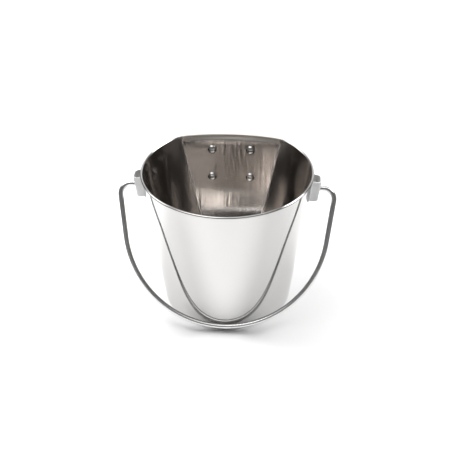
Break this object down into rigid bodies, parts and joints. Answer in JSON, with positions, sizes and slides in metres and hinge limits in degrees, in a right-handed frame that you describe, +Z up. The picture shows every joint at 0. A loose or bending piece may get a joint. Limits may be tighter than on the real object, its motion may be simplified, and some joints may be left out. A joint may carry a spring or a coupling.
{
  "type": "flat-backed feed pail",
  "caption": "Tapered round stainless-steel feed and water pail with a flat back, rolled rim, swinging wire bail in pressed ears, and strap hooks riveted to the back.",
  "frame": {"origin": "centre of the floor's underside, on the axis of the round wall", "axes": "+Z up along the axis of the round wall; +Y out through the flat back; +X to the right, along the bail's pivot axis, seen from the front"},
  "size_m": [0.2136, 0.1672, 0.1445],
  "materials": {
    "pail_body": "mirror-polished stainless steel",
    "rivets": "polished stainless steel",
    "bail_handle": "bright drawn stainless wire",
    "ears": "satin stainless pressing",
    "hooks": "satin stainless strap"
  },
  "bodies": {
    "pail": {"pail_body": "pail_body", "left_ear": "ears", "right_ear": "ears", "left_hook": "hooks", "right_hook": "hooks", "left_upper_rivet": "rivets", "left_lower_rivet": "rivets", "right_upper_rivet": "rivets", "right_lower_rivet": "rivets"},
    "bail": {"bail_handle": "bail_handle"}
  },
  "joints": [
    {"name": "bail_swing", "type": "hinge", "parent": "pail", "child": "bail", "pos_m": [0, 0, 0.1273], "axis": [-1, 0, 0], "range_deg": [0, 303.4]}
  ]
}
